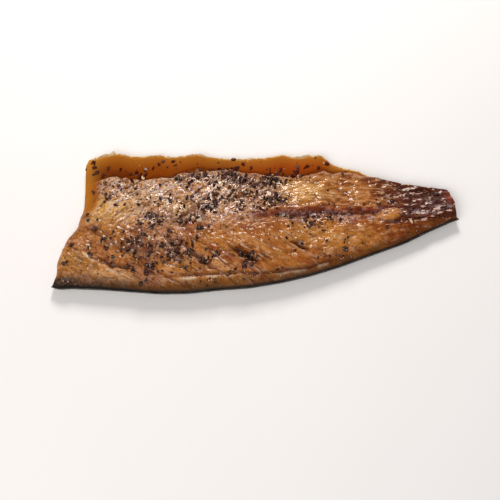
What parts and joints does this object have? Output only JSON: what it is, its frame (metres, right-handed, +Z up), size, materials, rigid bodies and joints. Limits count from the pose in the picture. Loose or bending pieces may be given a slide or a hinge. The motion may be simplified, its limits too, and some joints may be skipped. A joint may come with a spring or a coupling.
{
  "type": "peppered smoked mackerel fillet",
  "caption": "Whole side of hot-smoked mackerel on its skin, flesh side up: a thick flaky loin, a thin belly flap, a tapering tail end and a coat of cracked black pepper.",
  "frame": {"origin": "middle of the fillet's length and width, on the flat underside", "axes": "+X from the head cut to the tail, +Y from the back edge to the belly flap, +Z up through the flesh side"},
  "size_m": [0.22, 0.082, 0.0161],
  "materials": {
    "smoked_flesh": "moist, oily, flaky smoked fish flesh, amber to red-brown",
    "fish_skin": "thin supple skin, blue-black with wavy bars on the back and silvery gold on the belly",
    "cracked_pepper": "dry wrinkled black rind with cream broken faces"
  },
  "bodies": {
    "root": {"fillet": "smoked_flesh"}
  },
  "joints": []
}
